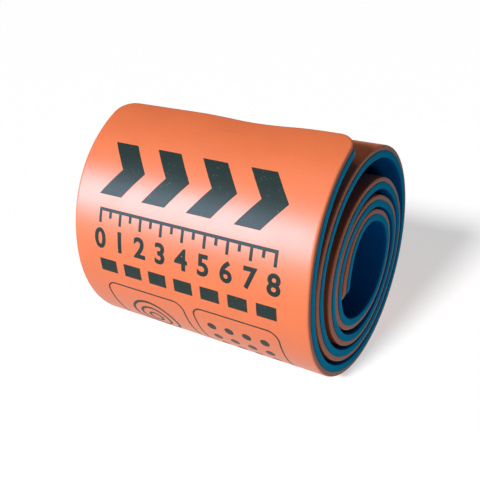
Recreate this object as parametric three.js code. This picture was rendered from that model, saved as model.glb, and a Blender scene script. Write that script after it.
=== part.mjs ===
// Foam splint, rolled up as it is stored: a long padded strip wound into a loose spiral, lying on its side.
// The strip is a soft aluminium sheet bonded between a thin orange foam, which faces out on every turn, and a
// thicker teal foam, which faces in. Millimetres, +Z up. The roll's axis runs along X, its front faces -Y.
import * as THREE from 'three';

// The flat strip
const STRIP_LENGTH = 914.4;
const STRIP_WIDTH = 108;
const CORNER_RADIUS = 7.5;

// The layers, and the glue line left between them
const OUTER_FOAM = 1.85;
const CORE_SHEET = 0.4;
const INNER_FOAM = 3;
const BOND_GAP = 0.2;

// The inner foam's rim closes up to the outer foam beside the core sheet
const RIM_WIDTH = 4;
const RIM_GAP = 0.3;

// The roll: how far the core sheet lies from the roll's axis, turn by turn from the outside in. The inner
// turns have sagged to the bottom and back, which leaves a crescent gap at the top and front.
const ROLL_TABLE = [
  { towards: 'top', turn1: 46.3, turn2: 41.3, turn3: 27.6, turn4: 20.9, turn5: 15.1 },
  { towards: 'top front', turn1: 47.5, turn2: 39.3, turn3: 26.2, turn4: 20.2, turn5: 13.2 },
  { towards: 'front', turn1: 46.6, turn2: 39.6, turn3: 28.5, turn4: 22.6, turn5: 14.0 },
  { towards: 'bottom front', turn1: 46.6, turn2: 40.0, turn3: 32.4, turn4: 26.7, turn5: 19.4 },
  { towards: 'bottom', turn1: 46.6, turn2: 41.0, turn3: 35.7, turn4: 28.5, turn5: 23.4 },
  { towards: 'bottom back', turn1: 46.6, turn2: 41.4, turn3: 36.1, turn4: 30.0 },
  { towards: 'back', turn1: 46.4, turn2: 40.5, turn3: 35.1, turn4: 27.8 },
  { towards: 'top back', turn1: 44.9, turn2: 33.3, turn3: 25.7, turn4: 19.4 },
];
const TURNS = ['turn1', 'turn2', 'turn3', 'turn4', 'turn5'];
const TABLE_STEP = 360 / ROLL_TABLE.length;

// The flap is the strip's outer end: its angle from the top towards the front, and how far it springs clear
const FLAP_END = 12.6;
const FLAP_LIFT = 5.3;
const FLAP_LIFT_FROM = 90;
const FLAP_LIFT_POWER = 1.8;

// A shallow dent in the flap's free edge
const DENT_DEPTH = 1.1;
const DENT_CENTRE = 12;
const DENT_HALF_WIDTH = 27;
const DENT_REACH = 30;

// Facets: the angle of one flat round the roll, the middle of the flat that it rests on, and how many flats
// go across the strip and round each of its corners
const FACET_ANGLE = 12;
const REST_ANGLE = 180;
const COLUMNS = 5;
const CORNER_STEPS = 5;

// The line of the core sheet seen along the roll's axis, as (back, up) from that axis. The curve's parameter
// runs evenly with the angle, from the flap's end to the last direction in the table.
class RollLine extends THREE.Curve {
  constructor() {
    super();
    const radii = TURNS.flatMap((turn) => ROLL_TABLE.map((direction) => direction[turn])).filter(Boolean);
    this.radii = new THREE.SplineCurve(radii.map((radius, i) => new THREE.Vector2(i * TABLE_STEP, radius)));
    this.lastAngle = (radii.length - 1) * TABLE_STEP;
    this.arcLengthDivisions = this.lastAngle;
  }

  parameterAt(angle) {
    return (angle - FLAP_END) / (this.lastAngle - FLAP_END);
  }

  angleAt(t) {
    return FLAP_END + t * (this.lastAngle - FLAP_END);
  }

  angleAtDistance(distance) {
    return this.angleAt(this.getUtoTmapping(0, distance));
  }

  distanceAt(t) {
    const lengths = this.getLengths();
    const place = t * this.arcLengthDivisions;
    const before = Math.min(Math.floor(place), this.arcLengthDivisions - 1);
    return THREE.MathUtils.lerp(lengths[before], lengths[before + 1], place - before);
  }

  getPoint(t, target = new THREE.Vector2()) {
    const angle = this.angleAt(t);
    const spring = Math.max(0, (FLAP_LIFT_FROM - angle) / (FLAP_LIFT_FROM - FLAP_END));
    const radius = this.radii.getPoint(angle / this.lastAngle).y + FLAP_LIFT * spring ** FLAP_LIFT_POWER;
    const turned = THREE.MathUtils.degToRad(angle);
    return target.set(-radius * Math.sin(turned), radius * Math.cos(turned));
  }
}

// Half the strip's width at a distance along it, drawn in round the corners at both ends
function halfWidthAt(distance) {
  const fromEnd = Math.min(distance, STRIP_LENGTH - distance);
  const short = THREE.MathUtils.clamp(CORNER_RADIUS - fromEnd, 0, CORNER_RADIUS);
  return STRIP_WIDTH / 2 - CORNER_RADIUS + Math.sqrt(CORNER_RADIUS ** 2 - short ** 2);
}

// A station is one cross-section of the strip: its place on the roll, the direction out of the roll, half the
// strip's width there, and its distance from the flap's end.
function stationAt(line, angle) {
  const t = line.parameterAt(angle);
  const along = line.getTangent(t);
  const outward = new THREE.Vector2(along.y, -along.x);
  const distance = line.distanceAt(t);
  return { point: line.getPoint(t), outward, halfWidth: halfWidthAt(distance), distance };
}

// Stations follow the corners' arcs at the two ends, and lie on the edges of the facets between them.
function layStations(line) {
  const arc = Array.from({ length: CORNER_STEPS + 1 }, (_, i) => {
    return CORNER_RADIUS * (1 - Math.cos((i / CORNER_STEPS) * (Math.PI / 2)));
  });
  const flapEnd = arc.map((fromEnd) => line.angleAtDistance(fromEnd));
  const innerEnd = arc.map((fromEnd) => line.angleAtDistance(STRIP_LENGTH - fromEnd)).reverse();
  const shortest = FACET_ANGLE / 4;
  const facets = [];
  for (let angle = (REST_ANGLE % FACET_ANGLE) + FACET_ANGLE / 2; angle < innerEnd[0]; angle += FACET_ANGLE) {
    if (angle - flapEnd.at(-1) > shortest && innerEnd[0] - angle > shortest) facets.push(angle);
  }
  return [...flapEnd, ...facets, ...innerEnd].map((angle) => stationAt(line, angle));
}

// How far the dent presses a point of the flap inwards
function dentAt(across, distance) {
  const aside = Math.min(1, Math.abs(across - DENT_CENTRE) / DENT_HALF_WIDTH);
  const away = Math.min(1, distance / DENT_REACH);
  return DENT_DEPTH * Math.cos(aside * Math.PI / 2) ** 2 * Math.cos(away * Math.PI / 2) ** 2;
}

// A point of a layer, given across the strip from its middle and outwards from the core sheet's line
function placeOnStrip({ point, outward, distance }, across, height) {
  const reach = height - dentAt(across, distance);
  return [across, point.x + outward.x * reach, point.y + outward.y * reach];
}

// One row of points across the strip, from left to right, whose two ends may lie in from the strip's edges
function row(halfWidth, height, inset = 0) {
  return Array.from({ length: COLUMNS + 1 }, (_, i) => {
    const across = halfWidth * (2 * i / COLUMNS - 1);
    return [THREE.MathUtils.clamp(across, inset - halfWidth, halfWidth - inset), height];
  });
}

// The outline of a plain layer's cross-section, from its inner face round to its outer face
function layerOutline(halfWidth, innerHeight, outerHeight, inset = 0) {
  return [...row(halfWidth, innerHeight, inset), ...row(halfWidth, outerHeight, inset).reverse()];
}

// Joins the cross-sections of a layer into one closed solid.
function loftLayer(stations, outlineAt) {
  const outlines = stations.map(outlineAt);
  const ring = outlines[0].length;
  const positions = outlines.flatMap((outline, i) => {
    return outline.flatMap(([across, height]) => placeOnStrip(stations[i], across, height));
  });
  const index = [];
  for (let i = 0; i + 1 < stations.length; i++) {
    for (let j = 0; j < ring; j++) {
      const next = (j + 1) % ring;
      const [a, b] = [i * ring + j, i * ring + next];
      index.push(a, b, b + ring, a, b + ring, a + ring);
    }
  }
  const capFaces = (outline) => {
    return THREE.ShapeUtils.triangulateShape(outline.map(([x, y]) => new THREE.Vector2(x, y)), []);
  };
  const lastRing = (stations.length - 1) * ring;
  capFaces(outlines[0]).forEach(([a, b, c]) => index.push(a, c, b));
  capFaces(outlines.at(-1)).forEach(([a, b, c]) => index.push(lastRing + a, lastRing + b, lastRing + c));
  const geometry = new THREE.BufferGeometry();
  geometry.setAttribute('position', new THREE.Float32BufferAttribute(positions, 3));
  geometry.setIndex(index);
  geometry.computeVertexNormals();
  return geometry;
}

// Heights of the faces, outwards from the middle of the core sheet
const CORE_FACE = CORE_SHEET / 2;
const OUTER_FOAM_INSIDE = CORE_FACE + BOND_GAP;
const OUTER_FOAM_OUTSIDE = OUTER_FOAM_INSIDE + OUTER_FOAM;
const RIM_TOP = CORE_FACE;
const POCKET_FLOOR = -CORE_FACE - BOND_GAP;
const INNER_FOAM_INSIDE = RIM_TOP - INNER_FOAM;

function makeOuterFoam(stations) {
  const geometry = loftLayer(stations, ({ halfWidth }) => {
    return layerOutline(halfWidth, OUTER_FOAM_INSIDE, OUTER_FOAM_OUTSIDE);
  });
  const material = new THREE.MeshStandardMaterial({ color: 0xf47a45, roughness: 0.5, metalness: 0 });
  const mesh = new THREE.Mesh(geometry, material);
  mesh.name = 'outer_foam';
  return mesh;
}

function makeCoreSheet(stations) {
  const inset = RIM_WIDTH + RIM_GAP;
  const geometry = loftLayer(stations, ({ halfWidth }) => {
    return layerOutline(halfWidth, -CORE_FACE, CORE_FACE, inset);
  });
  const material = new THREE.MeshStandardMaterial({ color: 0xc8ccd0, roughness: 0.35, metalness: 1 });
  const mesh = new THREE.Mesh(geometry, material);
  mesh.name = 'core_sheet';
  return mesh;
}

// The inner foam is a shallow channel: a pocket for the core sheet between two rims.
function makeInnerFoam(stations) {
  const geometry = loftLayer(stations, ({ halfWidth }) => [
    ...row(halfWidth, INNER_FOAM_INSIDE),
    [halfWidth, RIM_TOP],
    [halfWidth - RIM_WIDTH, RIM_TOP],
    ...row(halfWidth, POCKET_FLOOR, RIM_WIDTH).reverse(),
    [RIM_WIDTH - halfWidth, RIM_TOP],
    [-halfWidth, RIM_TOP],
  ]);
  const material = new THREE.MeshStandardMaterial({ color: 0x0b6e93, roughness: 0.75, metalness: 0 });
  const mesh = new THREE.Mesh(geometry, material);
  mesh.name = 'inner_foam';
  return mesh;
}

// The roll is set down on its lowest facet, centred over the origin.
const stations = layStations(new RollLine());
const splint = new THREE.Group();
splint.add(makeOuterFoam(stations), makeCoreSheet(stations), makeInnerFoam(stations));
const bounds = new THREE.Box3().setFromObject(splint);
splint.position.set(0, -(bounds.min.y + bounds.max.y) / 2, -bounds.min.z);

export default splint;
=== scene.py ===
"""Foam splint in its stored roll, dressed for the camera: three bonded layers wound into a loose spiral."""
import math

import bmesh
import bpy
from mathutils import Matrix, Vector


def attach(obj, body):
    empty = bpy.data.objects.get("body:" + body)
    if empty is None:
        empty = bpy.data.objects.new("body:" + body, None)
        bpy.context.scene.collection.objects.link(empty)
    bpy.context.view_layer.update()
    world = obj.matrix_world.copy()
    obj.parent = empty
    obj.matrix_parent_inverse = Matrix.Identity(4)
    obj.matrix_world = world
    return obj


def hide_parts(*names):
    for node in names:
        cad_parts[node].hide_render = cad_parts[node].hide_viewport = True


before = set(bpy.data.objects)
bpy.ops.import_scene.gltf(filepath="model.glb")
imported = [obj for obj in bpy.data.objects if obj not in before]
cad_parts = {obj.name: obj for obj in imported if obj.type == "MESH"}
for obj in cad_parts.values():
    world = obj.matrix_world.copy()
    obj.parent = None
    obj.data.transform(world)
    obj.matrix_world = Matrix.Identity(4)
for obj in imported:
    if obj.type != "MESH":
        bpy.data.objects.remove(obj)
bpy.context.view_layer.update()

# Core sheet
# One sheet of soft, fully annealed aluminium with rounded corners, the part of the strip that keeps its shape.
# It is bonded flat between the two foams, and the whole strip is then wound up by hand.
MM = 0.001
STRIP_LENGTH = 914.4 * MM
STRIP_WIDTH = 108 * MM
CORNER_RADIUS = 7.5 * MM
CORE_SHEET = 0.4 * MM
CORE_INSET = 4.3 * MM
CORE_ROUND = (0.08 * MM, 0.08 * MM)
SKIN = 0.02 * MM

# How far the core sheet lies from the roll's axis in millimetres, turn by turn from the outside in
ROLL_TABLE = {
    "top": (46.3, 41.3, 27.6, 20.9, 15.1),
    "top front": (47.5, 39.3, 26.2, 20.2, 13.2),
    "front": (46.6, 39.6, 28.5, 22.6, 14.0),
    "bottom front": (46.6, 40.0, 32.4, 26.7, 19.4),
    "bottom": (46.6, 41.0, 35.7, 28.5, 23.4),
    "bottom back": (46.6, 41.4, 36.1, 30.0),
    "back": (46.4, 40.5, 35.1, 27.8),
    "top back": (44.9, 33.3, 25.7, 19.4),
}
TABLE_STEP = 360 / len(ROLL_TABLE)
RADII = [row[turn] for turn in range(5) for row in ROLL_TABLE.values() if turn < len(row)]
AXIS = Vector((0, 0.1, 48.584)) * MM

# The flap is the strip's outer end, sprung clear of the roll
FLAP_END = 12.6
FLAP_LIFT = 5.3
FLAP_LIFT_FROM = 90
FLAP_LIFT_POWER = 1.8


def core_radius(angle):
    """Distance from the roll's axis in millimetres, at an angle counted from the top through every turn."""
    step = min(int(angle / TABLE_STEP), len(RADII) - 2)
    before, start, end, after = (RADII[min(max(step + k, 0), len(RADII) - 1)] for k in (-1, 0, 1, 2))
    leave, arrive = (end - before) / 2, (after - start) / 2
    t = angle / TABLE_STEP - step
    cubic = 2 * start - 2 * end + leave + arrive
    square = 3 * end - 3 * start - 2 * leave - arrive
    spring = max(0, (FLAP_LIFT_FROM - angle) / (FLAP_LIFT_FROM - FLAP_END))
    return ((cubic * t + square) * t + leave) * t + start + FLAP_LIFT * spring ** FLAP_LIFT_POWER


def core_line():
    """The line of the core sheet seen along the roll's axis, as a curve that starts at the flap's end."""
    last = round((len(RADII) - 1) * TABLE_STEP)
    angles = [FLAP_END] + list(range(math.ceil(FLAP_END), last + 1))
    curve = bpy.data.curves.new("core_line", "CURVE")
    curve.dimensions = "3D"
    spline = curve.splines.new("POLY")
    spline.points.add(len(angles) - 1)
    for point, angle in zip(spline.points, angles):
        radius, turned = core_radius(angle) * MM, math.radians(angle)
        point.co = (0, AXIS.y - radius * math.sin(turned), AXIS.z + radius * math.cos(turned), 1)
    line = bpy.data.objects.new("core_line", curve)
    bpy.context.scene.collection.objects.link(line)
    return line


class Wire:
    """A node's output. A sum with it adds a Math node, and Wire.node adds a node of any other kind."""

    def __init__(self, socket):
        self.socket = socket
        self.tree = socket.id_data

    @staticmethod
    def node(tree, kind, settings=None, sockets=None, out=0):
        made = tree.nodes.new(kind)
        for name, value in (settings or {}).items():
            setattr(made, name, value)
        for key, value in (sockets or {}).items():
            if isinstance(value, Wire):
                tree.links.new(value.socket, made.inputs[key])
            else:
                made.inputs[key].default_value = value
        return Wire(made.outputs[out]) if made.outputs else made

    def beside(self, name):
        """Another output of the same node."""
        return Wire(self.socket.node.outputs[name])

    def maths(self, operation, *others):
        return self.ordered(operation, self, *others)

    def ordered(self, operation, *values):
        return Wire.node(self.tree, "ShaderNodeMath", {"operation": operation}, dict(enumerate(values)))

    def between(self, low, high, start=0.0, end=1.0):
        """Goes smoothly from start to end as this value goes from low to high."""
        ends = {"From Min": low, "From Max": high, "To Min": start, "To Max": end}
        return Wire.node(self.tree, "ShaderNodeMapRange", {"interpolation_type": "SMOOTHSTEP"},
                         {"Value": self, **ends})

    def __add__(self, other):
        return self.maths("ADD", other)

    def __sub__(self, other):
        return self.maths("SUBTRACT", other)

    def __rsub__(self, other):
        return self.ordered("SUBTRACT", other, self)

    def __mul__(self, other):
        return self.maths("MULTIPLY", other)

    def __truediv__(self, other):
        return self.maths("DIVIDE", other)

    def __rtruediv__(self, other):
        return self.ordered("DIVIDE", other, self)

    def __pow__(self, other):
        return self.maths("POWER", other)

    __radd__ = __add__
    __rmul__ = __mul__


# A shallow dent in the flap's free edge, and a short crease beside it
ROLL_SIZES = {
    "Dent Depth": 1.1 * MM,
    "Dent Centre": 12 * MM,
    "Dent Half Width": 27 * MM,
    "Dent Reach": 30 * MM,
    "Crease Depth": 0.16 * MM,
    "Crease Left": -1 * MM,
    "Crease Right": 8 * MM,
    "Crease Along": 8 * MM,
    "Crease Width": 0.9 * MM,
    "Ripple": 0.12 * MM,
    "Ripple Length": 28 * MM,
}
CREASE_SLOPE = 0.04
SHARP_EDGE = math.radians(50)


def make_roll_up():
    """Node tree that winds flat geometry up along the core line: X lies across the strip, Y runs along it
    from the flap's end, and Z points out of the roll."""
    tree = bpy.data.node_groups.new("roll_up", "GeometryNodeTree")
    tree.interface.new_socket("Geometry", in_out="OUTPUT", socket_type="NodeSocketGeometry")
    tree.interface.new_socket("Geometry", in_out="INPUT", socket_type="NodeSocketGeometry")
    tree.interface.new_socket("Core Line", in_out="INPUT", socket_type="NodeSocketObject")
    tree.interface.new_socket("Material", in_out="INPUT", socket_type="NodeSocketMaterial")
    for name in ROLL_SIZES:
        tree.interface.new_socket(name, in_out="INPUT", socket_type="NodeSocketFloat")
    given = Wire.node(tree, "NodeGroupInput")
    size = {name: given.beside(name) for name in ROLL_SIZES}

    flat = Wire.node(tree, "GeometryNodeInputPosition")
    across = Wire.node(tree, "ShaderNodeSeparateXYZ", None, {0: flat})
    along, height = across.beside("Y"), across.beside("Z")
    line = Wire.node(tree, "GeometryNodeObjectInfo", None, {"Object": given.beside("Core Line")}, "Geometry")
    place = Wire.node(tree, "GeometryNodeSampleCurve", {"mode": "LENGTH"}, {"Curves": line, "Length": along},
                      "Position")
    outward = Wire.node(tree, "ShaderNodeVectorMath", {"operation": "CROSS_PRODUCT"},
                        {0: place.beside("Tangent"), 1: (1, 0, 0)})

    aside = ((across - size["Dent Centre"]).maths("ABSOLUTE") / size["Dent Half Width"]).maths("MINIMUM", 1)
    away = (along / size["Dent Reach"]).maths("MINIMUM", 1)
    hollow = (aside * (math.pi / 2)).maths("COSINE") ** 2 * (away * (math.pi / 2)).maths("COSINE") ** 2
    spread = Wire.node(tree, "ShaderNodeCombineXYZ", None, {"X": across, "Y": along})
    ripple = Wire.node(tree, "ShaderNodeTexNoise", {"noise_dimensions": "2D"},
                       {"Vector": spread, "Scale": 1 / size["Ripple Length"], "Detail": 1.0})
    off_crease = (along - size["Crease Along"] + across * CREASE_SLOPE) / size["Crease Width"]
    fade = size["Crease Width"] * 2
    ends = across.between(size["Crease Left"] - fade, size["Crease Left"] + fade)
    ends = ends * across.between(size["Crease Right"] - fade, size["Crease Right"] + fade, 1.0, 0.0)
    crease = off_crease * (off_crease * off_crease * -1).maths("EXPONENT") * ends
    reach = height - hollow * size["Dent Depth"] + crease * size["Crease Depth"]
    reach = reach + (ripple - 0.5) * size["Ripple"]

    raised = Wire.node(tree, "ShaderNodeVectorMath", {"operation": "SCALE"}, {0: outward, "Scale": reach})
    wound = Wire.node(tree, "ShaderNodeVectorMath", {"operation": "ADD"}, {0: place, 1: raised})
    back = Wire.node(tree, "ShaderNodeSeparateXYZ", None, {0: wound}, "Y")
    pressed = back.beside("Z").maths("MAXIMUM", 0)
    target = Wire.node(tree, "ShaderNodeCombineXYZ", None, {"X": across, "Y": back, "Z": pressed})
    moved = Wire.node(tree, "GeometryNodeSetPosition", None,
                      {"Geometry": given.beside("Geometry"), "Position": target})
    # Winding mirrors the flat mesh, so its faces are turned to point outwards again
    turned = Wire.node(tree, "GeometryNodeFlipFaces", None, {"Mesh": moved})
    real = Wire.node(tree, "GeometryNodeRealizeInstances", None, {"Geometry": turned})
    faced = Wire.node(tree, "GeometryNodeSetMaterial", None,
                      {"Geometry": real, "Material": given.beside("Material")})
    Wire.node(tree, "NodeGroupOutput", None, {"Geometry": faced})
    return tree


def wind_up(name, flat_mesh, material):
    """Winds a flat mesh up with the rest of the strip and gives it back as a plain object."""
    piece = bpy.data.objects.new(name, flat_mesh)
    bpy.context.scene.collection.objects.link(piece)
    winding = piece.modifiers.new("roll_up", "NODES")
    winding.node_group = roll_up
    sockets = {item.name: item.identifier for item in roll_up.interface.items_tree if item.in_out == "INPUT"}
    for label, value in {"Core Line": line_of_core, "Material": material, **ROLL_SIZES}.items():
        winding[sockets[label]] = value
    shown = bpy.context.evaluated_depsgraph_get()
    mesh = bpy.data.meshes.new_from_object(piece.evaluated_get(shown), depsgraph=shown)
    mesh.name = name
    piece.modifiers.remove(winding)
    piece.data = mesh
    mesh.shade_smooth()
    mesh.set_sharp_from_angle(angle=SHARP_EDGE)
    return piece


# The blank of a layer has rows across the strip, close together on the flap and round the corners
CORNER_STEPS = 12
FLAP_ROWS_TO = 60 * MM
FLAP_ROW = 0.6 * MM
ROLL_ROW = 1.6 * MM
COLUMN = 2.25 * MM
SUPPORT = 0.4 * MM
ROUND_STEPS = 5


def spaced(start, end, step):
    """Places from start to end, both included, about one step apart."""
    count = max(1, round((end - start) / step))
    return [start + (end - start) * i / count for i in range(count + 1)]


def strip_rows(inset):
    """Rows across the strip as (place along it, how far the corner reaches out, direction of the outline)."""
    radius = CORNER_RADIUS - inset
    turns = [math.pi / 2 * k / CORNER_STEPS for k in range(CORNER_STEPS + 1)]
    near = [(inset + radius * (1 - math.cos(a)), radius * math.sin(a), a) for a in turns]
    middle = spaced(CORNER_RADIUS, FLAP_ROWS_TO, FLAP_ROW)[1:-1]
    middle += spaced(FLAP_ROWS_TO, STRIP_LENGTH - CORNER_RADIUS, ROLL_ROW)[:-1]
    far = [(STRIP_LENGTH - along, reach, math.pi - a) for along, reach, a in reversed(near)]
    return near + [(along, radius, math.pi / 2) for along in middle] + far


def strip_columns(width, inset, top, rim, rim_top):
    """Columns from the left edge to the right one as (place across the strip, height of the top face)."""
    widest = width / 2 - inset
    if rim is None:
        right = [(x, top) for x in spaced(0, widest - SUPPORT, COLUMN)] + [(widest, top)]
    else:
        right = [(x, top) for x in spaced(0, width / 2 - rim, COLUMN)]
        right += [(width / 2 - rim + SKIN, rim_top), (widest - SUPPORT, rim_top), (widest, rim_top)]
    return [(-x, h) for x, h in reversed(right[1:])] + right


def rounded_edge(inset, rounding):
    """Points over a rounded edge as (how far out of the face's edge, how far in from the face)."""
    inwards, height = rounding
    bends = [math.pi / 2 * k / ROUND_STEPS for k in range(ROUND_STEPS + 1)]
    points = [(inset - inwards * (1 - math.sin(a)), height * (1 - math.cos(a))) for a in bends]
    return [(out, depth) for out, depth in points if out > 0]


def flat_layer(name, width, bottom, top, top_round, bottom_round, rim=None, rim_top=None):
    """A flat layer of the strip as a closed mesh with round corners. Each round is how far an edge is rounded
    over, inwards and in height. A rim, if given, is a raised border along both long edges. The attribute
    "cut" goes from 0 on the faces to 1 where the edge is steep."""
    inset = max(top_round[0], bottom_round[0])
    rows = strip_rows(inset)
    columns = strip_columns(width, inset, top, rim, rim_top)
    last, edge = len(rows) - 1, len(columns) - 1
    widest = width / 2 - inset
    grid = []
    for along, reach, _ in rows:
        half = width / 2 - CORNER_RADIUS + reach
        grid.append([(x * half / widest, along, h) for x, h in columns])

    points, faces, cut = [], [], []

    def add_points(new):
        points.extend(new)
        return list(range(len(points) - len(new), len(points)))

    upper = [add_points(row) for row in grid]
    lower = [add_points([(x, y, bottom) for x, y, _ in row]) for row in grid]
    for r in range(last):
        for c in range(edge):
            faces.append((upper[r][c], upper[r][c + 1], upper[r + 1][c + 1], upper[r + 1][c]))
            faces.append((lower[r][c], lower[r + 1][c], lower[r + 1][c + 1], lower[r][c + 1]))
            cut += [0.0, 0.0]

    # The outline's points in order, and loops of points round the edge from the top face to the bottom one
    ring = [(0, c) for c in range(edge + 1)] + [(r, edge) for r in range(1, last + 1)]
    ring += [(last, c) for c in range(edge - 1, -1, -1)] + [(r, 0) for r in range(last - 1, 0, -1)]

    def outward(r, c):
        turn = rows[r][2]
        if c in (0, edge):
            return math.copysign(math.sin(turn), c - 1), -math.cos(turn)
        return 0, (-1 if r == 0 else 1)

    def loop_at(out, height_of):
        loop = []
        for r, c in ring:
            (x, y, h), (nx, ny) = grid[r][c], outward(r, c)
            loop.append((x + nx * out, y + ny * out, height_of(h)))
        return add_points(loop)

    loops = [[upper[r][c] for r, c in ring]]
    loops += [loop_at(out, lambda h: h - depth) for out, depth in rounded_edge(inset, top_round)]
    loops += [loop_at(out, lambda h: bottom + depth)
              for out, depth in reversed(rounded_edge(inset, bottom_round))]
    loops.append([lower[r][c] for r, c in ring])
    for first, second in zip(loops, loops[1:]):
        rise = Vector(points[first[0]]) - Vector(points[second[0]])
        steep = abs(rise.z) / rise.length
        for i in range(len(ring)):
            j = (i + 1) % len(ring)
            faces.append((first[i], second[i], second[j], first[j]))
            cut.append(steep ** 2)

    mesh = bpy.data.meshes.new(name)
    mesh.from_pydata(points, [], faces)
    mesh.attributes.new("cut", "FLOAT", "FACE").data.foreach_set("value", cut)
    mesh.update()
    return mesh


def linear(red, green, blue):
    """A colour given in screen values from 0 to 255, as a shader takes it."""
    shades = [value / 255 for value in (red, green, blue)]
    return (*[v / 12.92 if v <= 0.04045 else ((v + 0.055) / 1.055) ** 2.4 for v in shades], 1.0)


def new_material(name):
    """A material with an empty tree, ready for its nodes."""
    material = bpy.data.materials.new(name)
    material.use_nodes = True
    material.node_tree.nodes.clear()
    return material


def surface(tree, sockets):
    """Ends a material's tree in one Principled shader."""
    shader = Wire.node(tree, "ShaderNodeBsdfPrincipled", None, sockets)
    Wire.node(tree, "ShaderNodeOutputMaterial", None, {"Surface": shader})


def mixed(tree, factor, first, second):
    """A colour that goes from first to second."""
    return Wire.node(tree, "ShaderNodeMix", {"data_type": "RGBA"}, {0: factor, 6: first, 7: second}, 2)


def rolled_aluminium():
    """Mill-finish sheet: fine rolling lines with a soft, uneven sheen."""
    material = new_material("rolled_aluminium")
    tree = material.node_tree
    place = Wire.node(tree, "ShaderNodeTexCoord", None, None, "Object")
    drawn = Wire.node(tree, "ShaderNodeMapping", None, {"Vector": place, "Scale": (6000, 260, 260)})
    lines = Wire.node(tree, "ShaderNodeTexNoise", None, {"Vector": drawn, "Scale": 1.0, "Detail": 4.0})
    bloom = Wire.node(tree, "ShaderNodeTexNoise", None, {"Vector": place, "Scale": 180.0, "Detail": 3.0})
    colour = mixed(tree, bloom, linear(196, 200, 204), linear(222, 225, 228))
    relief = Wire.node(tree, "ShaderNodeBump", None, {"Strength": 0.25, "Distance": 0.00005, "Height": lines})
    surface(tree, {"Base Color": colour, "Metallic": 1.0, "Roughness": 0.26 + lines * 0.2, "Normal": relief})
    return material


roll_up = make_roll_up()
line_of_core = core_line()
core_sheet = wind_up(
    "rolled_sheet",
    flat_layer("core_flat", STRIP_WIDTH - 2 * CORE_INSET, -CORE_SHEET / 2, CORE_SHEET / 2,
               CORE_ROUND, CORE_ROUND),
    rolled_aluminium(),
)
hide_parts("core_sheet")
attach(core_sheet, "root")

# Inner foam
# A thick pad of teal closed-cell foam on the inside of every turn. It is moulded with a raised rim that closes
# up to the orange foam along both edges, so the sheet's edges are covered.
INNER_FOAM = 3 * MM
INNER_ROUND = (1.8 * MM, 0.35 * MM)
SEAM_ROUND = (0.1 * MM, 0.1 * MM)
RIM_WIDTH = 4 * MM
RIM_TOP = CORE_SHEET / 2
TEAL_SKIN = linear(0, 84, 150)
TEAL_CUT = linear(0, 127, 166)


def closed_cell_foam(name, skin, cut_face, skin_rough, cut_rough, shine):
    """Closed-cell foam: a satin skin on its faces, and a duller, finely pored face where it is cut. The orange
    foam's cut colour is darkened further to paint in the shade on its edges.
    """
    material = new_material(name)
    tree = material.node_tree
    place = Wire.node(tree, "ShaderNodeTexCoord", None, None, "Object")
    cut = Wire.node(tree, "ShaderNodeAttribute", {"attribute_name": "cut"}, None, "Fac")
    cells = Wire.node(tree, "ShaderNodeTexVoronoi", None, {"Vector": place, "Scale": 2600.0}, "Distance")
    grain = Wire.node(tree, "ShaderNodeTexNoise", None, {"Vector": place, "Scale": 1400.0, "Detail": 3.0})
    cloud = Wire.node(tree, "ShaderNodeTexNoise", None, {"Vector": place, "Scale": 70.0, "Detail": 4.0})
    tone = mixed(tree, cut, skin, cut_face)
    mottle = (cloud - 0.5) * 0.16 + (grain - 0.5) * 0.10 + (cells - 0.5) * cut * 0.25
    shade = Wire.node(tree, "ShaderNodeHueSaturation", None, {"Color": tone, "Value": 1.0 + mottle})
    rough = skin_rough + (cut_rough - skin_rough) * cut + (cloud - 0.5) * 0.12 + (grain - 0.5) * 0.08
    height = grain * 0.6 + cells * (0.25 + 0.75 * cut)
    relief = Wire.node(tree, "ShaderNodeBump", None, {"Strength": 0.35, "Distance": 0.00006, "Height": height})
    surface(tree, {"Base Color": shade, "Roughness": rough, "Specular IOR Level": shine, "Normal": relief})
    return material


inner_foam = wind_up(
    "rolled_inner_foam",
    flat_layer("inner_flat", STRIP_WIDTH, RIM_TOP - INNER_FOAM, -CORE_SHEET / 2 - SKIN, SEAM_ROUND,
               INNER_ROUND, RIM_WIDTH, RIM_TOP),
    closed_cell_foam("teal_foam", TEAL_SKIN, TEAL_CUT, 0.6, 0.8, 0.05),
)
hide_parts("inner_foam")
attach(inner_foam, "root")

# Outer foam
# A thin skin of orange closed-cell foam on the outside of every turn, bonded to the sheet and to the rims of
# the inner foam. It is cut a hair narrower than they are, and its cut edge is slightly rounded and coloured a
# dull brown that also holds painted shade.
OUTER_FOAM_TOP = 2.25 * MM
OUTER_ROUND = (0.95 * MM, 0.6 * MM)
OUTER_INSET = 0.25 * MM
ORANGE_SKIN = linear(228, 118, 72)
# The cut edge's colour is darker than cut foam alone: a dull brown with the shade on the edges painted into it.
ORANGE_CUT_AND_SHADE = linear(148, 94, 76)

outer_foam = wind_up(
    "rolled_outer_foam",
    flat_layer("outer_flat", STRIP_WIDTH - 2 * OUTER_INSET, CORE_SHEET / 2 + SKIN, OUTER_FOAM_TOP,
               OUTER_ROUND, SEAM_ROUND),
    closed_cell_foam("orange_foam", ORANGE_SKIN, ORANGE_CUT_AND_SHADE, 0.38, 0.65, 0.5),
)
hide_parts("outer_foam")
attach(outer_foam, "root")

# Printed marks
# A width scale and plain handling marks in dark ink, screen-printed on the orange foam near the flap's end,
# where they show on the finished roll. The ink is a thin satin film that follows the foam, with fine pinholes
# whose pale specks are painted glints.
INK = linear(34, 49, 47)
# The pale grey-green painted into the pinholes is a painted glint, not a colour of the ink.
INK_GLINT_SPECK = linear(125, 138, 134)
INK_RISE = 0.05 * MM
INK_PIECE = (2.2 * MM, 1.5 * MM)
SAME_PLACE = 0.001 * MM
ROUND_SIDES = 32
NUMERAL_STEPS = 4

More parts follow.
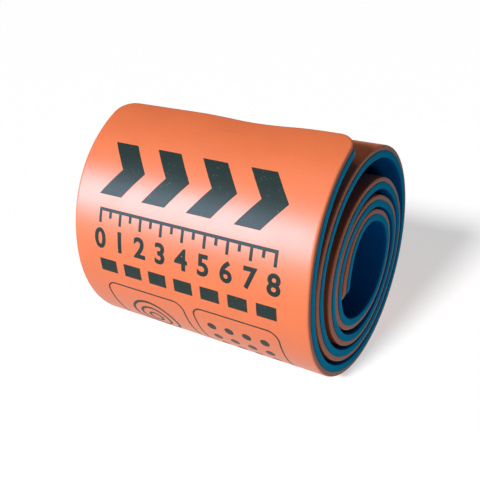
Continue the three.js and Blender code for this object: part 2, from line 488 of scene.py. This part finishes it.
# Places on the flat strip in millimetres: across from its middle, and along from the flap's end
CHEVRONS = {"left": -42, "pitch": 21, "count": 4, "start": 22.5, "tall": 21, "wide": 19.5, "stroke": 11}
SCALE = {"left": -40, "step": 5, "count": 17, "start": 48.5, "line": 1.3, "short": 3.8, "long": 6}
NUMBERS = {"start": 56.6, "tall": 8.6, "heavier": 0.03}
DASHES = {"left": -41, "pitch": 12.3, "count": 7, "start": 69.5, "tall": 5.5, "wide": 8.4}
FRAMES = {"left": (-41, 2), "wide": 39, "start": 80.5, "tall": 34, "corner": 5, "line": 0.65}
RINGS = {"across": -21.5, "along": 97.5, "radii": (3.6, 7.4, 11.2), "line": 1.2}
DOTS = {"left": 9.5, "start": 89.5, "columns": 4, "rows": 3, "pitch": 8, "radius": 2}


def bar(left, start, wide, tall):
    return [(left, start), (left + wide, start), (left + wide, start + tall), (left, start + tall)]


def chevron(left, start, wide, tall, stroke):
    right, middle = left + wide, start + tall / 2
    return [(left, start), (left + stroke, start), (right, middle), (left + stroke, start + tall),
            (left, start + tall), (right - stroke, middle)]


def comb(ticks, lengths, start, line):
    """A straight line with ticks that hang from it."""
    outline = [(ticks[0] - line / 2, start), (ticks[-1] + line / 2, start)]
    for tick, length in reversed(list(zip(ticks, lengths))):
        left, right = tick - line / 2, tick + line / 2
        outline += [(right, start + line), (right, start + length)]
        outline += [(left, start + length), (left, start + line)]
    return outline


def disc(across, along, radius, turned=0):
    """A round outline. Turned by half a side, none of its points lies straight across or along."""
    turns = [math.tau * (k + turned) / ROUND_SIDES for k in range(ROUND_SIDES)]
    return [(across + radius * math.cos(a), along + radius * math.sin(a)) for a in turns]


def round_box(left, start, wide, tall, corner):
    """An outline with rounded corners and as many points as a disc has."""
    middle = (left + wide / 2, start + tall / 2)
    straight = (wide / 2 - corner, tall / 2 - corner)
    return [tuple(m + math.copysign(s, p) + p for m, s, p in zip(middle, straight, point))
            for point in disc(0, 0, corner, 0.5)]


def band(outside, inside):
    """The faces between two outlines with as many points."""
    return [(outside[k - 1], outside[k], inside[k], inside[k - 1]) for k in range(len(outside))]


def numeral(text, across, start, tall, heavier):
    """The filled faces of a plain number, centred across and set below a place along the strip."""
    letters = bpy.data.curves.new("numeral", "FONT")
    letters.body, letters.align_x = text, "CENTER"
    letters.offset, letters.resolution_u = heavier, NUMERAL_STEPS
    sign = bpy.data.objects.new("numeral", letters)
    bpy.context.scene.collection.objects.link(sign)
    shown = bpy.context.evaluated_depsgraph_get()
    filled = bpy.data.meshes.new_from_object(sign.evaluated_get(shown), depsgraph=shown)
    low, high = (limit(point.co.y for point in filled.vertices) for limit in (min, max))
    size = tall / (high - low)
    spots = [(across + point.co.x * size, start + (high - point.co.y) * size) for point in filled.vertices]
    faces = [[spots[k] for k in face.vertices] for face in filled.polygons]
    bpy.data.objects.remove(sign)
    bpy.data.curves.remove(letters)
    bpy.data.meshes.remove(filled)
    return faces


def all_marks():
    """Every printed mark, as flat faces in millimetres."""
    marks = []
    for k in range(CHEVRONS["count"]):
        marks.append(chevron(CHEVRONS["left"] + k * CHEVRONS["pitch"], CHEVRONS["start"], CHEVRONS["wide"],
                             CHEVRONS["tall"], CHEVRONS["stroke"]))
    ticks = [SCALE["left"] + k * SCALE["step"] for k in range(SCALE["count"])]
    lengths = [SCALE["short" if k % 2 else "long"] for k in range(SCALE["count"])]
    marks.append(comb(ticks, lengths, SCALE["start"], SCALE["line"]))
    for number, tick in enumerate(ticks[::2]):
        marks += numeral(str(number), tick, NUMBERS["start"], NUMBERS["tall"], NUMBERS["heavier"])
    for k in range(DASHES["count"]):
        marks.append(bar(DASHES["left"] + k * DASHES["pitch"], DASHES["start"], DASHES["wide"], DASHES["tall"]))
    for left in FRAMES["left"]:
        line = FRAMES["line"]
        marks += band(round_box(left, FRAMES["start"], FRAMES["wide"], FRAMES["tall"], FRAMES["corner"]),
                      round_box(left + line, FRAMES["start"] + line, FRAMES["wide"] - 2 * line,
                                FRAMES["tall"] - 2 * line, FRAMES["corner"] - line))
    for radius in RINGS["radii"]:
        marks += band(disc(RINGS["across"], RINGS["along"], radius),
                      disc(RINGS["across"], RINGS["along"], radius - RINGS["line"]))
    for column in range(DOTS["columns"]):
        for row in range(DOTS["rows"]):
            marks.append(disc(DOTS["left"] + column * DOTS["pitch"], DOTS["start"] + row * DOTS["pitch"],
                              DOTS["radius"]))
    return marks


def ink_film(name, marks):
    """The marks as thin closed solids, flat, cut small enough to bend with the strip."""
    film = bmesh.new()
    for mark in marks:
        film.faces.new([film.verts.new((x * MM, y * MM, 0)) for x, y in mark])
    bmesh.ops.remove_doubles(film, verts=film.verts, dist=SAME_PLACE)
    bmesh.ops.triangulate(film, faces=film.faces)
    for axis, step in enumerate(INK_PIECE):
        normal = [float(axis == k) for k in range(3)]
        places = [point.co[axis] for point in film.verts]
        for place in spaced(min(places), max(places), step)[1:-1]:
            everything = film.verts[:] + film.edges[:] + film.faces[:]
            bmesh.ops.bisect_plane(film, geom=everything, dist=SAME_PLACE / 2,
                                   plane_co=[place * n for n in normal], plane_no=normal)
    film.normal_update()
    bmesh.ops.reverse_faces(film, faces=[face for face in film.faces if face.normal.z < 0])
    film.verts.index_update()
    count = len(film.verts)
    points = [(p.co.x, p.co.y, OUTER_FOAM_TOP + rise) for rise in (INK_RISE, -INK_RISE) for p in film.verts]
    faces = []
    for face in film.faces:
        upper = [point.index for point in face.verts]
        faces += [upper, [count + k for k in reversed(upper)]]
        for loop in face.loops:
            if len(loop.edge.link_faces) == 1:
                first, second = loop.vert.index, loop.link_loop_next.vert.index
                faces.append([second, first, count + first, count + second])
    film.free()
    mesh = bpy.data.meshes.new(name)
    mesh.from_pydata(points, [], faces)
    return mesh


def printed_ink():
    """Dark satin ink with a slightly uneven cover and fine pinholes, painted as pale specks of glint."""
    material = new_material("printed_ink")
    tree = material.node_tree
    place = Wire.node(tree, "ShaderNodeTexCoord", None, None, "Object")
    cover = Wire.node(tree, "ShaderNodeTexNoise", None, {"Vector": place, "Scale": 260.0, "Detail": 5.0})
    grain = Wire.node(tree, "ShaderNodeTexNoise", None, {"Vector": place, "Scale": 1400.0, "Detail": 3.0})
    pinhole = Wire.node(tree, "ShaderNodeTexVoronoi", None, {"Vector": place, "Scale": 900.0}, "Distance")
    # Pinholes where the ink is thin: they are rougher, and their pale colour paints in glints.
    pinholes_and_glints = pinhole.between(0.06, 0.2, 1.0, 0.0) * cover.between(0.45, 0.65)
    tone = mixed(tree, pinholes_and_glints * 0.7, INK, INK_GLINT_SPECK)
    shade = Wire.node(tree, "ShaderNodeHueSaturation", None, {"Color": tone, "Value": 0.86 + cover * 0.28})
    relief = Wire.node(tree, "ShaderNodeBump", None, {"Strength": 0.3, "Distance": 0.00005, "Height": grain})
    surface(tree, {"Base Color": shade, "Roughness": 0.4 + (grain - 0.5) * 0.16 + pinholes_and_glints * 0.2,
                   "Specular IOR Level": 0.14, "Normal": relief})
    return material


printed_marks = wind_up("printed_marks", ink_film("flat_marks", all_marks()), printed_ink())
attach(printed_marks, "root")

bpy.data.objects.remove(line_of_core)

# Floor, light and camera
# A pale floor in front of a white backdrop, and soft studio light from the front, the sides and behind. The
# camera stands a little above the roll and to its right.
FLOOR_SIZE = 12.0
FLOOR_SEEN, FLOOR_BOUNCE = (0.6, 0.6, 0.6, 1), (0.3, 0.3, 0.3, 1)
FLOOR_GLOW = 0.55
floor_corners = [(x * FLOOR_SIZE / 2, y * FLOOR_SIZE / 2, 0) for x, y in ((-1, -1), (1, -1), (1, 1), (-1, 1))]
floor_mesh = bpy.data.meshes.new("floor")
floor_mesh.from_pydata(floor_corners, [], [(0, 1, 2, 3)])
floor = bpy.data.objects.new("floor", floor_mesh)
bpy.context.scene.collection.objects.link(floor)
pale = new_material("pale_floor")
path = Wire.node(pale.node_tree, "ShaderNodeLightPath", None, None, "Is Camera Ray")
seen = path + path.beside("Is Glossy Ray")
shade = mixed(pale.node_tree, seen, FLOOR_BOUNCE, FLOOR_SEEN)
surface(pale.node_tree, {"Base Color": shade, "Roughness": 0.9, "Specular IOR Level": 0.1,
                         "Emission Color": seen, "Emission Strength": FLOOR_GLOW})
floor_mesh.materials.append(pale)


def towards(azimuth, elevation):
    """Direction from the roll to a place, with azimuth 0 in front, counted to the right."""
    a, e = math.radians(azimuth), math.radians(elevation)
    return Vector((math.sin(a) * math.cos(e), -math.cos(a) * math.cos(e), math.sin(e)))


def look_at(thing, place):
    thing.location = place
    thing.rotation_euler = (AXIS - place).to_track_quat("-Z", "Y").to_euler()
    bpy.context.scene.collection.objects.link(thing)


# Far lamps have a spread in degrees and a near lamp has a radius. Each shows in matt colour, in gloss or in
# both, and lights either the roll or the floor, so that the roll's shadow can be kept short.
WHITE, COOL = (1, 1, 1), (0.65, 0.78, 1)
LIGHTS = {
    "key": {"azimuth": -7, "elevation": 22, "spread": 7, "strength": 3.75, "colour": WHITE,
            "matt": True, "gloss": False, "lights": "roll"},
    "top": {"azimuth": -40, "elevation": 60, "spread": 40, "strength": 0.4, "colour": WHITE,
            "matt": True, "gloss": True, "lights": "roll"},
    "strip": {"azimuth": -33.5, "elevation": 15.5, "spread": 32, "strength": 6.5, "colour": COOL,
              "matt": False, "gloss": True, "lights": "roll"},
    "side": {"azimuth": 78, "elevation": -5, "distance": 0.17, "radius": 0.02, "strength": 0.155,
             "colour": WHITE, "matt": True, "gloss": False, "lights": "roll"},
    "back": {"azimuth": 180, "elevation": 4, "spread": 7, "strength": 1.9, "colour": WHITE,
             "matt": True, "gloss": False, "lights": "roll"},
    "floor key": {"azimuth": -5, "elevation": 29.5, "spread": 9, "strength": 4.5, "colour": WHITE,
                  "matt": True, "gloss": False, "lights": "floor"},
}
for name, light in LIGHTS.items():
    near = "distance" in light
    lamp = bpy.data.lights.new(name, "POINT" if near else "SUN")
    lamp.energy, lamp.color = light["strength"], light["colour"]
    if near:
        lamp.shadow_soft_size = light["radius"]
    else:
        lamp.angle = math.radians(light["spread"])
    lit = bpy.data.objects.new(name, lamp)
    lit.visible_diffuse, lit.visible_glossy = light["matt"], light["gloss"]
    look_at(lit, AXIS + towards(light["azimuth"], light["elevation"]) * light.get("distance", 1))
    receivers = bpy.data.collections.new(name)
    receivers.objects.link(floor)
    lit.light_linking.receiver_collection = receivers
    linked = receivers.collection_objects[0].light_linking
    linked.link_state = "INCLUDE" if light["lights"] == "floor" else "EXCLUDE"

ROOM_LIGHT = 0.05
world = bpy.data.worlds.new("studio")
world.use_nodes = True
backdrop = world.node_tree.nodes["Background"]
backdrop.inputs["Color"].default_value = (1, 1, 1, 1)
in_view = Wire.node(world.node_tree, "ShaderNodeLightPath", None, None, "Is Camera Ray")
world.node_tree.links.new((ROOM_LIGHT + in_view).socket, backdrop.inputs["Strength"])
bpy.context.scene.world = world
bpy.context.scene.view_settings.view_transform = "Standard"

CAMERA_DISTANCE = 0.30397
camera_data = bpy.data.cameras.new("camera")
camera_data.sensor_width = 36
camera_data.lens = 52.5
camera_data.shift_x = -0.0158
camera_data.shift_y = -0.0207
camera_data.clip_start = 0.01
camera = bpy.data.objects.new("camera", camera_data)
look_at(camera, AXIS + towards(31.10, 23.16) * CAMERA_DISTANCE)
bpy.context.scene.camera = camera
